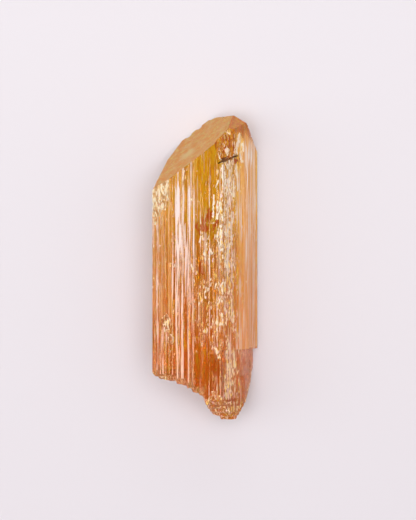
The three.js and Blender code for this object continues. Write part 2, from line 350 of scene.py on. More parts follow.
def chip(name, at, size, seed):
    """A lumpy ball that is cut out to leave a conchoidal scar."""
    bm = bmesh.new()
    bmesh.ops.create_icosphere(bm, subdivisions=4, radius=1)
    for vert in bm.verts:
        p = vert.co.copy() + Vector((seed * 3.1, seed, 0))
        ripple = 0.14 * noise.noise(p * 2.0) + 0.08 * noise.noise(p * 6.0) + 0.03 * noise.noise(p * 14.0)
        vert.co *= 0.94 + ripple
    points = [Vector(at) + Vector([c * s for c, s in zip(v.co, size)]) for v in bm.verts]
    faces = [[v.index for v in f.verts] for f in bm.faces]
    bm.free()
    return mesh_object(name, points, faces)


# Chips as (middle, half sizes)
CHIPS = [
    ((-5.75, 9.0, 9.5), (1.5, 2.1, 1.0)),
    ((-6.1, 7.2, 9.3), (0.9, 1.6, 0.9)),
    ((-5.1, 7.3, 9.5), (0.6, 0.8, 0.55)),
    ((-4.75, 10.0, 9.5), (0.5, 0.9, 0.5)),
    ((-6.0, 5.6, 9.2), (0.4, 0.9, 0.6)),
    ((-6.5, 10.3, 8.6), (0.5, 0.8, 0.8)),
    ((4.45, 14.9, 6.5), (0.35, 1.9, 0.75)),
    ((-4.9, -6.7, 9.5), (0.8, 1.3, 0.6)),
    ((-4.15, -8.6, 9.6), (0.45, 0.8, 0.55)),
    ((-5.4, -13.4, 9.4), (0.9, 0.7, 0.6)),
    ((-6.7, -13.0, 8.0), (0.8, 0.6, 1.4)),
    ((-2.15, 16.35, -0.1), (0.5, 0.75, 0.9)),
    ((-0.95, 17.5, -0.1), (0.55, 0.7, 1.1)),
    ((-3.9, 13.9, 0.3), (0.6, 0.9, 0.9)),
    ((0.35, 18.6, 0.2), (1.1, 0.55, 1.3)),
    ((1.95, 18.75, 3.1), (0.45, 0.75, 0.8)),
    ((-5.0, -9.0, 2.2), (0.5, 1.4, 0.9)),
    ((5.7, 6.0, -0.1), (0.9, 1.5, 0.5)),
    ((5.6, -5.0, -0.1), (0.7, 0.8, 0.5)),
    ((-3.6, -1.5, 0.2), (0.8, 1.1, 0.8)),
]


# The recess under the peak: which way its floor leans, its middle and its size
RECESS_TURN = Euler([math.radians(a) for a in (6, 32, 24)], "XYZ").to_matrix()
RECESS_SIZE = (3.4, 4.2)
RECESS_MIDDLE = Vector((3.1, 12.95, 7.85)) + RECESS_TURN @ Vector((0, RECESS_SIZE[1] / 2, 0))


def broken_corner():
    """The recess under the peak, whose floor sinks towards a crack across the edge."""
    def rough(u, v):
        return 0.1 * facets(u / 0.55, v / 0.7, 71) + 0.05 * facets(u / 0.2, v / 0.25, 72) - 0.05

    upward, across = RECESS_TURN @ Vector((0, 0, 1)), RECESS_TURN @ Vector((1, 0, 0))
    return slab("broken_corner", RECESS_MIDDLE, upward, across, RECESS_SIZE, 0.09, rough, thick=2.2)


def in_recess(places):
    """Which places, one to a row, are on the floor of the recess."""
    local = np.abs((places - np.array(RECESS_MIDDLE)) @ np.array(RECESS_TURN))
    return (local < [RECESS_SIZE[0] / 2 + 0.1, RECESS_SIZE[1] / 2 + 0.1, 0.25]).all(1)


# The crack across the right edge, below the recess
CRACK = [(1.45, 12.35), (1.9, 12.55), (2.3, 12.8), (2.75, 12.9), (3.2, 13.15), (3.6, 13.3), (3.9, 13.4)]
CRACK_WIDTH = 0.36
CRACK_DEPTH = 0.6
# In the crack this share stands for rust and painted shade in the fissure
CRACK_SHARE = 2  # of rust, more than any stain has


def edge_height(x):
    """How high the top face and the slope right of it lie at x."""
    return np.interp(x, [TOP_RIGHT[0], RIGHT_SHOULDER[0]], [THICKNESS, RIGHT_SHOULDER[1]])


def crack_cutter():
    """A narrow wedge that follows the crack and sinks into the crystal."""
    points = []
    for i, (x, y) in enumerate(CRACK):
        z = edge_height(x)
        half = CRACK_WIDTH / 2 * (0.4 if i in (0, len(CRACK) - 1) else 1)
        high, low = z + 0.5, z - CRACK_DEPTH
        points += [(x, y - half, high), (x, y + half, high), (x, y + half / 2, low), (x, y, low)]
    faces = [[0, 1, 2, 3]]
    for i in range(0, len(points) - 4, 4):
        faces += [[i + a, i + b, i + b + 4, i + a + 4] for a, b in ((0, 1), (1, 2), (2, 3), (3, 0))]
    return mesh_object("crack", points, faces + [[len(points) - k for k in (4, 3, 2, 1)]])


def split_strip(name, start, end, top, bottom, depth, seed):
    """A thin layer off one face of the prism, between two places along the crystal."""
    start, end = Vector((start[0], 0, start[1])), Vector((end[0], 0, end[1]))
    way = (end - start).normalized()
    outward = Vector((-way.z, 0, way.x))
    middle = end - outward * depth
    middle.y = (top + bottom) / 2

    def rough(u, v):
        grain = 0.03 * facets(u / 0.3, v / 1.6, seed) + 0.02 * value_noise(u / 0.12, v / 3, seed + 1)
        return np.clip(grain, -0.05, 0.2) + 0.03

    return slab(name, middle, outward, way, (16, top - bottom), 0.13, rough, thick=4)


def cut(body, cutters):
    """Takes the cutters out of the body for good."""
    for cutter in cutters:
        modifier = body.modifiers.new(cutter.name, "BOOLEAN")
        modifier.operation = "DIFFERENCE"
        modifier.solver = "MANIFOLD"
        modifier.object = cutter
    graph = bpy.context.evaluated_depsgraph_get()
    done = bpy.data.meshes.new_from_object(body.evaluated_get(graph))
    body.modifiers.clear()
    body.data = done
    done.name = body.name
    for cutter in cutters:
        bpy.data.objects.remove(cutter)


topaz = prism()
cut(topaz, [
    point_face("large_dome", LARGE_DOME, 0.25, dome_relief),
    point_face("far_dome", FAR_DOME, 0.4, dome_relief),
    point_face("amber_face", AMBER_FACE, 8),
    point_face("blunt_end", BLUNT_END, 8),
    slab("break", (0, BREAK_PLANE, MID_HEIGHT), (0, -1, 0), (1, 0, 0), (15, 12), 0.14, break_relief),
    split_strip("split_1", RIGHT_SHOULDER, RIGHT_EDGE, -9.95, -13.1, 0.55, 81),
    split_strip("split_2", RIGHT_SHOULDER, RIGHT_EDGE, -13.1, -24, 0.3, 83),
    split_strip("split_3", TOP_RIGHT, RIGHT_SHOULDER, -9.85, -24, 0.2, 85),
    broken_corner(),
    crack_cutter(),
    *[chip(f"chip_{i}", at, size, i) for i, (at, size) in enumerate(CHIPS)],
])
print("topaz", len(topaz.data.polygons), "polygons",
      sum(len(p.vertices) - 2 for p in topaz.data.polygons), "triangles")


# Materials

NODE_SETTINGS = ("operation", "attribute_name", "interpolation_type", "data_type", "use_clamp")

# Where a mix node has its two colours and its result
MIX_A, MIX_B, MIX_RESULT = 6, 7, 2


class Graph:
    """The nodes of a material or a world, with short calls that add to them. Most calls return a socket."""

    def __init__(self, owner):
        owner.use_nodes = True
        self.nodes = owner.node_tree.nodes
        self.link = owner.node_tree.links.new
        self.coordinates = self.add("TexCoord").outputs

    def add(self, kind, **values):
        """A new node with the settings and input values given."""
        made = self.nodes.new("ShaderNode" + kind)
        for name, value in values.items():
            if name in NODE_SETTINGS:
                setattr(made, name, value)
            else:
                made.inputs[name.replace("_", " ")].default_value = value
        return made

    def give(self, value, socket):
        """Gives an input a colour, a number or a link from another socket."""
        if isinstance(value, tuple):
            socket.default_value = (*value, 1)
        elif isinstance(value, (int, float)):
            socket.default_value = value
        else:
            self.link(value, socket)

    def maths(self, operation, a, b=0, **settings):
        made = self.add("Math", operation=operation, **settings)
        self.give(a, made.inputs[0])
        self.give(b, made.inputs[1])
        return made.outputs[0]

    def vectors(self, operation, *vectors):
        """A vector maths node, not its socket."""
        made = self.add("VectorMath", operation=operation)
        for vector, socket in zip(vectors, made.inputs):
            self.link(vector, socket)
        return made

    def mixed(self, share, a, b):
        """The colour a where share is 0 and b where it is 1. Each is a colour or a socket."""
        made = self.add("Mix", data_type="RGBA")
        self.link(share, made.inputs["Factor"])
        self.give(a, made.inputs[MIX_A])
        self.give(b, made.inputs[MIX_B])
        return made.outputs[MIX_RESULT]

    def ranged(self, value, low, high, to_low=0.0, to_high=1.0, **settings):
        """The value spread from to_low to to_high as it goes from low to high, and held outside them."""
        made = self.add("MapRange", **settings)
        ends = {"From Min": low, "From Max": high, "To Min": to_low, "To Max": to_high}
        for name, number in ends.items():
            made.inputs[name].default_value = number
        self.link(value, made.inputs["Value"])
        return made.outputs["Result"]

    def thresholded(self, texture, density, sharpness):
        """A mask over the share of the surface that density gives, from noise spread evenly from 0 to 1."""
        over = self.maths("SUBTRACT", self.maths("ADD", texture, density), 1)
        return self.maths("MULTIPLY", over, sharpness, use_clamp=True)

    def channel(self, colour, which="Red"):
        apart = self.add("SeparateColor")
        self.link(colour, apart.inputs["Color"])
        return apart.outputs[which]

    def layer(self, attribute):
        """The four shares that a colour layer of the mesh holds."""
        made = self.add("Attribute", attribute_name=attribute)
        apart = self.add("SeparateColor")
        self.link(made.outputs["Color"], apart.inputs["Color"])
        return *apart.outputs, made.outputs["Alpha"]

    def stretched(self, per_mm):
        """Places on the object, with so many units to the millimetre along x, y and z."""
        made = self.add("Mapping", Scale=[units / MM for units in per_mm])
        self.link(self.coordinates["Object"], made.inputs["Vector"])
        return made.outputs["Vector"]

    def streaked_noise(self, per_mm, low, high, detail=3.0, distortion=0.0):
        """Noise with so many cells to the millimetre along x, y and z, spread from 0 at low to 1 at high."""
        texture = self.add("TexNoise", Scale=1.0, Detail=detail, Roughness=0.6, Distortion=distortion)
        self.link(self.stretched(per_mm), texture.inputs["Vector"])
        return self.ranged(texture.outputs["Fac"], low, high, interpolation_type="SMOOTHSTEP")

    def splinters(self, per_mm, bend=0.9):
        """A random colour for each of many small cells, so many to the millimetre along x, y and z."""
        place = self.stretched(per_mm)
        warp = self.add("TexNoise", Scale=1.3, Detail=3.0)
        self.link(place, warp.inputs["Vector"])
        bent = self.add("VectorMath", operation="MULTIPLY_ADD")
        self.link(warp.outputs["Color"], bent.inputs[0])
        bent.inputs[1].default_value = (bend, bend, bend)
        self.link(place, bent.inputs[2])
        cells = self.add("TexVoronoi", Scale=1.0, Randomness=1.0)
        self.link(bent.outputs["Vector"], cells.inputs["Vector"])
        return cells.outputs["Color"]

    def leaning_normal(self, cells, amount, lifted):
        """The surface normal, leaned in each cell in a direction of its own by up to the amount given, and
        upward where lifted is 1."""
        lean = self.vectors("SUBTRACT", cells)
        lean.inputs[1].default_value = (0.5, 0.5, 0.5)
        scaled = self.vectors("SCALE", lean.outputs["Vector"])
        self.link(amount, scaled.inputs["Scale"])
        normal = self.add("NewGeometry").outputs["Normal"]
        leaned = self.vectors("ADD", normal, scaled.outputs["Vector"])
        upward = self.add("CombineXYZ")
        self.link(lifted, upward.inputs["Z"])
        raised = self.vectors("ADD", leaned.outputs["Vector"], upward.outputs["Vector"])
        return self.vectors("NORMALIZE", raised.outputs["Vector"]).outputs["Vector"]


def material(name):
    """A new material, its graph and its main shader."""
    made = bpy.data.materials.new(name)
    graph = Graph(made)
    return made, graph, graph.nodes["Principled BSDF"]


# Colours of the topaz as red, green and blue. A pair goes from the point to the broken end.
GOLDEN = (1.0, 0.5, 0.01), (0.98, 0.19, 0.005)
BLUSHING = (1.0, 0.58, 0.28), (1.0, 0.4, 0.17)
CREAM = (1.0, 0.94, 0.76), (1.0, 0.78, 0.5)
# White lines: pale striae, and painted highlights along the bright bands
WHITE_LINES_AND_HIGHLIGHTS = (1.0, 0.93, 0.94), (1.0, 0.62, 0.48)
WARM_LINES = (1.0, 0.78, 0.58), (1.0, 0.62, 0.4)
SUNNY = (1.0, 0.6, 0.01)
DARK_STREAK = (0.66, 0.2, 0.008)
GLINT = (1.0, 0.62, 0.02)
AMBER_SPECK = (0.85, 0.27, 0.0)
BLUSH_LINE = (0.75, 0.28, 0.05)
RUST_STAIN = (0.37, 0.055, 0.0)
CRACK_RUST_AND_SHADE = (0.17, 0.055, 0.01)
GILT = (1.0, 0.64, 0.12)
LILAC = (0.95, 0.6, 0.75)
FROSTED_CREAM = (1.0, 0.86, 0.55)
DOME_TANS = (1.0, 0.4, 0.03), (1.0, 0.56, 0.14)
DOME_GOLD = (1.0, 0.74, 0.16)
DOME_GRAIN = (0.82, 0.3, 0.02)
# Colour of the painted glint on the dome
DOME_GLINT = (1.0, 0.74, 0.26)
SCAR_FLOOR = (1.0, 0.74, 0.36)

TOPAZ_IOR = 1.62
TOPAZ_SHEEN = (1.0, 0.8, 0.5, 1)  # tint of the mirror reflection
ABSORPTION_COLOUR = (0.994, 0.9, 0.02, 1)
ABSORPTION_DENSITY = 260
POLISHED, CHALKY = 0.03, 0.5  # roughness


def fleck_mask(graph, flecked, fine):
    """Splintered flecks, thicker in some cells and strings than in others, and thin curls among them."""
    coarse = graph.channel(graph.splinters((3.6, 1.4, 3.6)))
    share = graph.maths("MULTIPLY", flecked, graph.ranged(coarse, 0, 1, 0.4, 1.6))
    strings = graph.streaked_noise((3.4, 0.4, 3.4), 0.35, 0.65)
    share = graph.maths("MULTIPLY", share, graph.ranged(strings, 0, 1, 0.5, 1.4))
    flecks = graph.thresholded(graph.channel(fine), share, 8)
    wave = graph.streaked_noise((1.9, 1.1, 1.9), 0.3, 0.7, distortion=1.4)
    off_line = graph.maths("ABSOLUTE", graph.maths("SUBTRACT", wave, 0.5))
    curls = graph.maths("MULTIPLY", graph.ranged(off_line, 0.03, 0.005), graph.ranged(flecked, 0.1, 0.4))
    return graph.maths("MAXIMUM", flecks, graph.maths("MULTIPLY", curls, 0.7))


def body_colour(graph, fine, deep, blush):
    """The see-through ground: sunny and dark streaks, glints, amber specks and fine lines on the blush."""
    body = graph.mixed(deep, *GOLDEN)
    sunny = graph.streaked_noise((3.0, 0.6, 3.0), 0.5, 0.62, detail=4, distortion=0.5)
    body = graph.mixed(graph.maths("MULTIPLY", sunny, 0.8), body, SUNNY)
    darker = graph.streaked_noise((2.8, 0.22, 2.8), 0.45, 0.7, detail=5)
    body = graph.mixed(graph.maths("MULTIPLY", darker, 0.7), body, DARK_STREAK)
    glint = graph.ranged(graph.channel(fine, "Green"), 0.55, 1)
    body = graph.mixed(graph.maths("MULTIPLY", glint, graph.ranged(deep, 0, 1, 0.8, 0.3)), body, GLINT)
    body = graph.mixed(graph.ranged(graph.channel(fine, "Blue"), 0.3, 0, 0, 0.8), body, AMBER_SPECK)
    lined = graph.streaked_noise((9.0, 0.1, 9.0), 0.4, 0.6, detail=4)
    return graph.mixed(blush, body, graph.mixed(lined, graph.mixed(deep, *BLUSHING), BLUSH_LINE))


def frosted_colour(graph, deep, lean):
    """The mottled tan of the frosted dome, with a painted glint in one place, and the paler floor of the
    scars.
    """
    mottle = graph.streaked_noise((0.8, 0.8, 0.8), 0.32, 0.68, detail=4)
    gold = graph.streaked_noise((1.5, 0.9, 1.5), 0.5, 0.6, detail=5, distortion=0.8)
    grain = graph.streaked_noise((5.0, 5.0, 5.0), 0.3, 0.7)
    tan = graph.mixed(gold, graph.mixed(mottle, *DOME_TANS), DOME_GOLD)
    tan = graph.mixed(graph.maths("MULTIPLY", grain, 0.65), tan, DOME_GRAIN)
    tan = graph.mixed(deep, tan, DOME_GLINT)
    return graph.mixed(graph.maths("MULTIPLY", lean, 2.0), tan, SCAR_FLOOR)


def pale_colour(graph, fine, zones, flecks, deep, veil):
    """White lines, partly painted highlights along the bright bands, and cream flecks of which a few are
    gilt or lilac.
    """
    frost, flecked = zones[:2]
    gilt = graph.ranged(graph.channel(fine, "Green"), 0.32, 0.28)
    gilt = graph.maths("MULTIPLY", gilt, graph.ranged(flecked, 1.0, 0.8))
    cream = graph.mixed(gilt, graph.mixed(deep, *CREAM), GILT)
    lilac = graph.ranged(graph.channel(fine, "Blue"), 0.9, 0.92, 0, 0.8)
    cream = graph.mixed(frost, graph.mixed(lilac, cream, LILAC), FROSTED_CREAM)
    pale = graph.mixed(flecks, graph.mixed(deep, *WHITE_LINES_AND_HIGHLIGHTS), cream)
    return graph.mixed(graph.ranged(veil, 0.4, 0.7, 0, 0.6), pale, graph.mixed(deep, *WARM_LINES))


def topaz_material():
    made, graph, shader = material("topaz")
    zones = frost, flecked, streaked, blush = graph.layer("zones")
    deep, veil, lean, rust_and_crack_shade = graph.layer("tones")
    fine = graph.splinters((8.5, 2.5, 8.5))
    flecks = fleck_mask(graph, flecked, fine)
    streaks = graph.streaked_noise((5.5, 0.16, 5.5), 0.34, 0.66, detail=5)
    # Pale flecks, and streaks that along the bright bands are painted highlights
    flecks_and_highlight_lines = graph.maths("MAXIMUM", flecks, graph.thresholded(streaks, streaked, 3))
    strokes = graph.channel(graph.splinters((6.5, 1.8, 6.5), 0.6))
    rust = graph.thresholded(strokes, rust_and_crack_shade, 5)

    # Rust stains, and the crack's dark brown, which is rust and painted shade
    brown = graph.mixed(graph.ranged(rust_and_crack_shade, 1.2, 2.0), RUST_STAIN, CRACK_RUST_AND_SHADE)
    body = graph.mixed(rust, body_colour(graph, fine, deep, blush), brown)
    ground = graph.mixed(frost, body, frosted_colour(graph, deep, lean))
    pale = pale_colour(graph, fine, zones, flecks, deep, veil)
    colour = graph.mixed(graph.maths("SUBTRACT", flecks_and_highlight_lines, rust), ground, pale)
    graph.link(colour, shader.inputs["Base Color"])

    solid = graph.maths("MAXIMUM", graph.maths("MULTIPLY", flecks_and_highlight_lines, 0.8), rust)
    hazy = graph.maths("MAXIMUM", veil, graph.maths("MULTIPLY", frost, 0.6))
    clear = graph.ranged(graph.maths("MAXIMUM", hazy, solid), 0, 1, 1.0, 0.0)
    graph.link(clear, shader.inputs["Transmission Weight"])
    dull = graph.maths("MAXIMUM", frost, graph.ranged(veil, 0.4, 1))
    dull = graph.ranged(graph.maths("MAXIMUM", flecks_and_highlight_lines, dull), 0, 1, POLISHED, CHALKY)
    graph.link(dull, shader.inputs["Roughness"])
    leaning = graph.maths("MAXIMUM", graph.maths("MULTIPLY", flecks, 0.5), lean)
    graph.link(graph.leaning_normal(fine, leaning, flecks), shader.inputs["Normal"])
    shader.inputs["IOR"].default_value = TOPAZ_IOR
    shader.inputs["Specular Tint"].default_value = TOPAZ_SHEEN

    absorb = graph.add("VolumeAbsorption", Color=ABSORPTION_COLOUR, Density=ABSORPTION_DENSITY)
    graph.link(absorb.outputs["Volume"], graph.nodes["Material Output"].inputs["Volume"])
    return made


# Painted white glints and white scars on the surface, as strokes: start (x, y), end (x, y) and the half
# width at each
GLINTS_AND_WHITE_SCARS = [
    ((4.09, 16.2), (3.85, 14.9), 0.1, 0.22), ((3.85, 14.9), (3.65, 13.8), 0.22, 0.16),
    ((3.4, 13.9), (3.85, 13.7), 0.12, 0.1), ((4.5, 15.1), (4.55, 14.1), 0.1, 0.1),
    ((4.1, 13.7), (4.35, 12.8), 0.12, 0.16), ((2.57, 13.95), (2.62, 13.25), 0.32, 0.05),
    ((2.4, 16.2), (2.9, 16.0), 0.1, 0.1), ((2.0, 12.3), (2.25, 9.8), 0.2, 0.34),
    ((1.5, 10.4), (1.3, 9.6), 0.12, 0.1), ((3.7, 12.2), (3.85, 9.3), 0.13, 0.1),
    ((3.35, 10.5), (3.4, 8.4), 0.1, 0.12), ((1.0, 8.6), (0.8, 5.2), 0.1, 0.18),
    ((1.75, 8.0), (1.35, 5.9), 0.16, 0.2), ((3.3, 6.5), (3.15, 5.2), 0.16, 0.16),
    ((2.2, 7.2), (2.1, 5.4), 0.12, 0.1), ((-0.5, 4.0), (-0.3, 3.2), 0.16, 0.1),
    ((2.0, 4.4), (1.7, 2.6), 0.1, 0.12), ((2.7, 2.6), (2.6, 0.6), 0.1, 0.1),
    ((1.45, -4.9), (1.7, -5.6), 0.1, 0.14), ((1.9, -5.4), (2.0, -6.3), 0.1, 0.12),
    ((1.3, -6.3), (1.4, -6.8), 0.08, 0.1), ((1.2, -9.6), (1.6, -10.7), 0.1, 0.22),
    ((2.5, -8.0), (2.75, -9.2), 0.07, 0.12), ((2.7, -11.5), (2.6, -13.2), 0.1, 0.14),
    ((-1.7, 0.4), (-1.5, -0.4), 0.08, 0.12), ((-1.4, -1.4), (-1.3, -1.9), 0.08, 0.1),
    ((-0.6, 3.3), (-0.9, 2.7), 0.14, 0.1), ((3.05, -3.6), (3.15, -5.0), 0.06, 0.09),
    ((3.3, -5.4), (3.35, -7.6), 0.08, 0.13), ((3.4, -10.0), (3.5, -12.0), 0.08, 0.16),
    ((3.2, -12.2), (3.3, -13.2), 0.12, 0.08), ((-1.9, 8.4), (-1.6, 7.9), 0.1, 0.14),
    ((-2.6, 11.3), (-2.7, 10.5), 0.1, 0.1), ((-4.2, -8.2), (-4.0, -9.0), 0.16, 0.1),
]


def from_line(x, y, start, end):
    """How far places are from a line, and how far along it the nearest point is, from 0 to 1."""
    way = np.subtract(end, start)
    t = np.clip(((x - start[0]) * way[0] + (y - start[1]) * way[1]) / (way @ way), 0, 1)
    return np.hypot(x - start[0] - t * way[0], y - start[1] - t * way[1]), t


def glints_and_scars_share(x, y):
    """1 inside the painted glints and white scars, falling to 0 around them."""
    most = np.zeros(x.shape)
    for start, end, first, last in GLINTS_AND_WHITE_SCARS:
        away, t = from_line(x, y, start, end)
        most = np.maximum(most, np.clip((first + t * (last - first) - away) / 0.05, 0, 1))
    return most


def near_crack(x, y):
    return np.min([from_line(x, y, a, b)[0] for a, b in zip(CRACK, CRACK[1:])], 0)


# Clusters of rust-red stain: middle (x, y), spread (x, y), how many flakes, the largest half size, and the
# share of the surface above them that is stained
RUST = [
    ((-0.31, 4.75), (0.36, 0.44), 26, 0.35, 1.2), ((0.52, 5.9), (0.34, 0.5), 14, 0.3, 0.95),
    ((1.12, 5.4), (0.3, 0.4), 8, 0.3, 0.75), ((-0.55, -0.2), (0.16, 0.42), 18, 0.35, 1.3),
    ((1.2, -13.4), (0.45, 1.2), 30, 0.3, 0.8), ((1.5, 14.5), (0.2, 0.4), 9, 0.3, 0.4),
    ((2.6, 14.7), (0.5, 0.6), 18, 0.3, 0.65), ((3.7, 12.8), (0.2, 0.22), 9, 0.2, 1.1),
    ((3.0, -15.9), (0.5, 0.1), 9, 0.2, 1.2), ((2.5, -16.5), (0.8, 0.1), 9, 0.2, 1.2),
]


def stained(x, y):
    """The share of the surface that is stained, from the clusters under it."""
    share = np.zeros(x.shape)
    for middle, spread, _, _, most in RUST:
        away = ((x - middle[0]) / spread[0]) ** 2 + ((y - middle[1]) / spread[1]) ** 2
        share = np.maximum(share, most * np.exp(-away / 4))
    return share


def painted_places(mesh):
    """For each corner of the mesh: its face's centre and normal, and its own place as x, y and z."""
    faces, loops, verts = len(mesh.polygons), len(mesh.loops), len(mesh.vertices)
    centre, normal = np.empty(faces * 3), np.empty(faces * 3)
    start, vertex, place = np.empty(faces, int), np.empty(loops, int), np.empty(verts * 3)
    mesh.polygons.foreach_get("center", centre)
    mesh.polygons.foreach_get("normal", normal)
    mesh.polygons.foreach_get("loop_start", start)
    mesh.loops.foreach_get("vertex_index", vertex)
    mesh.vertices.foreach_get("co", place)
    face = np.repeat(np.arange(faces), np.diff(np.append(start, loops)))
    centre, normal = (centre.reshape(-1, 3) / MM)[face], normal.reshape(-1, 3)[face]
    return centre, normal, (place.reshape(-1, 3) / MM)[vertex].T


def chosen(cases, otherwise):
    """At each corner the value of the first case whose mask holds."""
    return np.select([mask for mask, _ in cases], [value for _, value in cases], otherwise)


def dome_glint(x, y):
    """A painted glint on the dome: a bright streak along a slanting line."""
    along = 0.76 * (x + 2.1) + 0.65 * (y - 13.7)
    across = 0.65 * (x + 2.1) - 0.76 * (y - 13.7)
    streak = np.exp(-(along / 1.0) ** 2 - (across / 0.35) ** 2)
    return np.clip(streak + 0.4 * value_noise(along / 0.6, across / 0.3, 93), 0, 1)


def paint_zones(obj):
    """Marks each corner of the mesh with the shares that the material mixes."""
    mesh = obj.data
    centre, normal, (x, y, z) = painted_places(mesh)

    def on_face(which):
        n = np.array(face_normal(which))
        return (normal @ n > 0.9) & (np.abs(centre @ n - which[2]) < 0.08)

    # Masks of the surfaces
    dome = on_face(LARGE_DOME) | on_face(FAR_DOME)
    tip = on_face(AMBER_FACE) | on_face(BLUNT_END)
    broken = (centre[:, 1] < break_y(centre[:, 0], centre[:, 2]) + 0.75) & (y < -11)
    scar = np.zeros(len(x), bool)
    for at, size in CHIPS:
        away = (centre - at) / np.array(size)
        scar |= (np.abs((away ** 2).sum(1) - 0.9) < 0.25) & ~dome
    large_scar = scar & (y > 4) & (x < -3)
    top = (centre[:, 2] > 8.35) & (normal[:, 2] > 0.75) & ~dome & ~scar & ~broken
    right = (x > 2.2) & ~top & ~dome & ~broken & ~tip
    split = right & (y < SPLIT_TOP)
    corner = in_recess(centre) & ~dome & ~tip
    band = (top | right) & (splintered(x, y) > 0.02)

    # Shares that run across them
    clear = clear_share(x, y)
    patchy = 0.5 + 0.5 * value_noise(x / 0.9, y / 1.6, 91)
    central = np.where(top, bump(x, -1.0, 2.0, 0.8) * bump(y, -10, 4.5, 2), 0)
    milky = smooth_step(-x, 3.75, 4.0) * bump(y, -5, 6.0, 3) * top
    ragged = 0.5 * value_noise(x / 0.3, y / 0.9, 95)
    below_tip = 1 - smooth_step(y + 0.35 * (x - 4) + ragged, 15.4, 16.7) * (top | right)
    on_knob = smooth_step(x, -0.7, 0.2)
    split_edge = smooth_step(x, 4.1, 4.6)
    dark_strand = bump(x, 1.5, 2.3, 0.15) * bump(y, -12.5, -8.2, 0.5)

    frost = chosen([(dome, 1), (large_scar, 0.6), (scar, 0.3), (broken, 0.1)], 0.0)
    blush = smooth_step(x, 3.4, 5.0) * (top | right) * (z > 1)
    blush = np.where(broken | dome | scar | tip | corner, 0, blush)
    blush = np.where(split, 0.1 * blush, 0.85 * blush) * (0.2 + 0.8 * below_tip)
    blush = np.maximum(blush, 0.35 * milky)

    along_edge = 0.7 - 0.34 * smooth_step(x, 2.2, 3.2) - 0.25 * smooth_step(x, 3.2, 3.9)
    flecked = chosen([
        (tip, 0), (dome, 0.04), (large_scar, 0.6), (scar, 0.4), (broken, 0.02 + 0.3 * on_knob),
        (corner, 0.2), (band, along_edge), (split, 0.5 - 0.42 * split_edge),
        (top | right, 0.02 + 0.08 * patchy),
    ], 0.05)
    flecked = np.maximum(flecked, (0.08 + 0.22 * patchy) * central) * (1 - 0.8 * clear)
    flecked *= 1 - 0.45 * smooth_step(-y, 10, 11.5) * top
    flecked *= (1 - 0.8 * dark_strand) * below_tip
    # Painted glints and white scars: flecks in full inside the strokes, on the top face and the right slope
    flecked = np.maximum(flecked, np.where((top | right) & (z > 4), 1.15 * glints_and_scars_share(x, y), 0))

    stripes = value_noise(x / 0.22, y / 5.0, 97) + 0.6 * value_noise(x / 0.5, y / 2.2, 98)
    streaked = chosen([(top & (x < TOP_LEFT[0]), 0.42), (top, 0.2), (right, 0.4 + 0.4 * stripes)], 0.2)
    # Along the bands the streaks are painted highlight lines, stronger in the middle of the crystal than
    # near its ends
    strength = 0.6 + 0.6 * smooth_step(-y, -10.5, -9) - 0.45 * smooth_step(-y, 2, 10)
    for left, end, slant in [*BANDS, EDGE_HIGHLIGHT_BAND]:
        on_band = bump(x, left, end, 0.02) * top * (0.85 if left > -2.4 else 1)
        streaked = np.maximum(streaked, 6 * abs(slant) * strength * on_band)
    streaked = np.maximum(streaked, 0.55 * top * bump(x, -3.5, -2.3, 0.1) * bump(y, -7, 4.5, 1.5))
    streaked *= (1 - 0.3 * clear) * (1 - dark_strand) * below_tip
    streaked = np.where(dome | scar | broken | tip | corner, 0, streaked)
    streaked = streaked * (1 - 0.4 * milky) * np.where(split, 1 - 0.6 * split_edge, 1)
    streaked = np.maximum(streaked, 0.75 * smooth_step(x, 5.3, 6.0) * right * (z > 1.5))

    downward = smooth_step(-y, -15 + 7 * top * bump(x, -1.0, 2.0, 0.8), 15)
    # On the dome the deep share carries the painted glint
    deep = chosen([(dome, dome_glint(x, y)), (broken, 1), (corner, 0.5), (tip, 0.8)], downward)
    deep = np.maximum(deep, 0.9 * (1 - below_tip))
    deep = np.where(split, np.maximum(deep, split_edge), deep)

    veil = 0.25 + 0.15 * smooth_step(y, 1, 7) + 0.15 * smooth_step(x, 1.6, 3.0)
    veil += 0.4 * smooth_step(x, 3.2, 4.4)
    veil = (veil + 0.15 * milky + 0.05 * clear) * (0.4 + 0.6 * below_tip)
    veil = chosen([
        (tip, 0.5), (large_scar, 0.3), (corner, 0.5), (broken, 0.2 + 0.2 * on_knob), (split, 0.35),
        (top | right, veil),
    ], 0.2)

    lean = chosen([
        (large_scar, 0.4), (corner, 0.8), (band, 0.35), (broken, 0.2 + 0.25 * on_knob), (scar, 0.6),
    ], 0.0)

    # The crack's walls and floor are painted dark brown: rust, and painted shade deep in the fissure
    in_crack = (normal[:, 2] < 0.5) | (centre[:, 2] < edge_height(x) - 0.3)
    in_crack &= (near_crack(x, y) < CRACK_WIDTH) & (z > 4)
    rust_and_crack_shade = chosen([(in_crack, CRACK_SHARE), (z > 5, stained(x, y) * (1 - glints_and_scars_share(x, y)))], 0)
    rust_and_crack_shade = np.maximum(rust_and_crack_shade, 0.4 * broken * (1 - on_knob) * smooth_step(z, 3, 7))

    for name, parts in (("zones", (frost, flecked, streaked, blush)), ("tones", (deep, veil, lean, rust_and_crack_shade))):
        layer = mesh.color_attributes.new(name, "FLOAT_COLOR", "CORNER")
        layer.data.foreach_set("color", np.stack(parts, 1).ravel())


paint_zones(topaz)
topaz.data.materials.clear()
topaz.data.materials.append(topaz_material())
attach(topaz, "root")
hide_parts("crystal")


# What the crystal holds under its surface: rust-red flakes and pale cleavage flakes

CLEARANCE = 0.02  # of what is held inside from the surface
TREE = BVHTree.FromObject(topaz, bpy.context.evaluated_depsgraph_get())


def height(x, y):
    """How high the crystal's surface is at a place seen from above."""
    hit = TREE.ray_cast(Vector((x, y, 30)) * MM, Vector((0, 0, -1)))[0]
    return hit.z / MM if hit else None


def held_inside(place):
    """Whether a place is inside the crystal, clear of its surface."""
    at = Vector(place) * MM
    near, normal, _, away = TREE.find_nearest(at)
    return (at - near).dot(normal) < 0 and away > CLEARANCE * MM


PLATE_HALF = 0.012  # half the plates' thickness


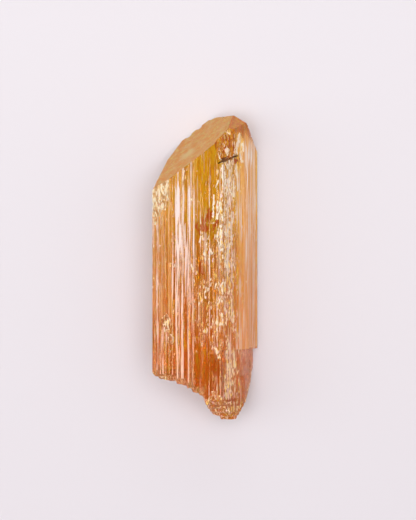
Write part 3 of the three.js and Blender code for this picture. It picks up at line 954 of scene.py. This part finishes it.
def flakes(name, places, sizes, longer, seed):
    """Thin closed plates with five to seven ragged corners, inside the crystal and mostly along it."""
    rng = np.random.default_rng(seed)
    points, faces = [], []
    for place, size in zip(places, sizes):
        corners = rng.integers(5, 8)
        turn = np.sort(rng.uniform(0, 2 * math.pi, corners))
        reach = size * rng.uniform(0.5, 1, corners)
        ring = np.stack([np.cos(turn) * reach, np.sin(turn) * reach * longer, np.zeros(corners)], 1)
        tilt = np.array(Euler(rng.normal(0, (0.15, 0.3, 0.3)), "XYZ").to_matrix())
        sides = [(ring + [0, 0, side * PLATE_HALF]) @ tilt.T + place for side in (-1, 1)]
        if not all(held_inside(p) for p in np.concatenate(sides)):
            continue
        first = len(points)
        points += [*sides[0], *sides[1]]
        low, high = range(first, first + corners), range(first + corners, first + 2 * corners)
        faces += [list(low)[::-1], list(high)]
        for i in range(corners):
            after = (i + 1) % corners
            faces.append([low[i], low[after], high[after], high[i]])
    return mesh_object(name, points, faces)


def scattered(clusters, depth, seed):
    """Places under the surface and half sizes, for clusters given as in RUST."""
    rng = np.random.default_rng(seed)
    places, sizes = [], []
    for middle, spread, count, largest, *_ in clusters:
        for _ in range(count):
            x, y = rng.normal(middle, spread)
            size = largest * rng.uniform(0.3, 1)
            top = height(x, y)
            if top is not None and top > 5:
                places.append((x, y, top - 0.4 * size - rng.uniform(*depth)))
                sizes.append(size)
    return places, sizes


def mineral(name, dark, light, roughness):
    """A dull material mottled between two colours."""
    made, graph, shader = material(name)
    mottle = graph.streaked_noise((3.0, 1.5, 3.0), 0.35, 0.65)
    graph.link(graph.mixed(mottle, dark, light), shader.inputs["Base Color"])
    shader.inputs["Roughness"].default_value = roughness
    return made


# Clusters of cleavage flakes: middle (x, y), spread (x, y), how many, and the largest half size
PALE = [
    ((1.9, 8.0), (0.9, 3.0), 70, 0.25), ((1.6, -1.0), (0.9, 4.0), 70, 0.25),
    ((0.6, -8.0), (1.6, 3.5), 60, 0.25), ((-0.4, 12.2), (0.7, 1.2), 40, 0.22),
    ((-2.5, 1.0), (1.6, 7.0), 60, 0.2), ((3.0, -15.5), (0.9, 1.0), 24, 0.3),
]
held = [
    (flakes("rust", *scattered(RUST, (0.02, 0.2), 101), 1.3, 102),
     mineral("rust", (0.35, 0.025, 0.002), (0.55, 0.06, 0.006), 0.6)),
    (flakes("cleavage_flakes", *scattered(PALE, (0.1, 1.2), 103), 3.5, 104),
     mineral("cleavage_flakes", (1.0, 0.7, 0.5), (1.0, 0.85, 0.7), 0.4)),
]
for piece, look in held:
    piece.data.materials.append(look)
    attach(piece, "root")


# Floor, light and camera

FLOOR_REACH = 1500
FLOOR_DROP = 0.03  # below the crystal
# The floor is painted darker towards -Y, at the bottom of the view, and paler towards +Y: a painted falloff
# of the light
FLOOR_FALLOFF_COLOURS = (0.735, 0.70, 0.73), (0.785, 0.755, 0.785)  # near and far
FLOOR_FALLOFF_SPAN = -0.035, 0.03  # metres along Y


def floor_material():
    made, graph, shader = material("pale_floor")
    apart = graph.add("SeparateXYZ")
    graph.link(graph.coordinates["Object"], apart.inputs["Vector"])
    share = graph.ranged(apart.outputs["Y"], *FLOOR_FALLOFF_SPAN)
    graph.link(graph.mixed(share, *FLOOR_FALLOFF_COLOURS), shader.inputs["Base Color"])
    shader.inputs["Roughness"].default_value = 0.9
    return made


FLOOR_CORNERS = [(-1, -1), (1, -1), (1, 1), (-1, 1)]
floor_corners = [(x * FLOOR_REACH, y * FLOOR_REACH, -FLOOR_DROP) for x, y in FLOOR_CORNERS]
floor = mesh_object("floor", floor_corners, [(0, 1, 2, 3)])
floor.data.materials.append(floor_material())


def soft_box(name, at, size, radiance):
    """An area light in metres that faces the crystal, with the radiance given whatever its size."""
    light = bpy.data.lights.new(name, "AREA")
    light.shape = "RECTANGLE"
    light.size, light.size_y = size
    light.energy = radiance * math.pi * size[0] * size[1]
    obj = bpy.data.objects.new(name, light)
    obj.location = at
    obj.rotation_euler = (-Vector(at)).to_track_quat("-Z", "Y").to_euler()
    bpy.context.scene.collection.objects.link(obj)


soft_box("left", (-0.42, 0.0, 0.42), (0.4, 0.55), 1.3)
soft_box("right", (0.45, 0.0, 0.3), (0.4, 0.5), 0.3)
soft_box("back", (0.0, 0.6, 0.35), (0.6, 0.3), 0.6)


# How bright the sky is at each cosine of the angle from straight up: a ring of soft light overhead, dark in
# its middle where the camera is, and dim walls all round
SKY = [(0.0, 0.28), (0.8, 0.28), (0.88, 0.42), (0.93, 3.85), (0.985, 4.7), (0.995, 0.3), (1.0, 0.1)]


SKY_TINT = (1, 0.97, 0.985, 1)


def studio_world():
    world = bpy.data.worlds.new("studio")
    graph = Graph(world)
    way = graph.add("SeparateXYZ")
    graph.link(graph.coordinates["Generated"], way.inputs["Vector"])
    curve = graph.add("FloatCurve")
    graph.link(way.outputs["Z"], curve.inputs["Value"])
    brightest = max(strength for _, strength in SKY)
    points = curve.mapping.curves[0].points
    for cosine, strength in SKY[1:-1]:
        points.new(cosine, strength / brightest)
    points[0].location = (0, SKY[0][1] / brightest)
    points[-1].location = (1, SKY[-1][1] / brightest)
    for point in points:
        point.handle_type = "VECTOR"
    curve.mapping.update()
    background = graph.nodes["Background"]
    graph.link(graph.maths("MULTIPLY", curve.outputs["Value"], brightest), background.inputs["Strength"])
    background.inputs["Color"].default_value = SKY_TINT
    return world


LIGHT_BOUNCES = 20  # enough for light to find its way through the crystal
SENSOR_WIDTH = 36

scene = bpy.context.scene
scene.world = studio_world()
scene.cycles.max_bounces = LIGHT_BOUNCES
scene.cycles.transmission_bounces = LIGHT_BOUNCES
scene.view_settings.view_transform = "Standard"

camera_data = bpy.data.cameras.new("camera")
camera_data.sensor_width = SENSOR_WIDTH
camera_data.lens = SENSOR_WIDTH * CAMERA_HEIGHT / FRAME_HEIGHT
camera_data.clip_start = 0.01
camera_data.clip_end = 20
camera = bpy.data.objects.new("camera", camera_data)
camera.location = Vector((*CAMERA_XY, THICKNESS + CAMERA_HEIGHT)) * MM
scene.collection.objects.link(camera)
scene.camera = camera
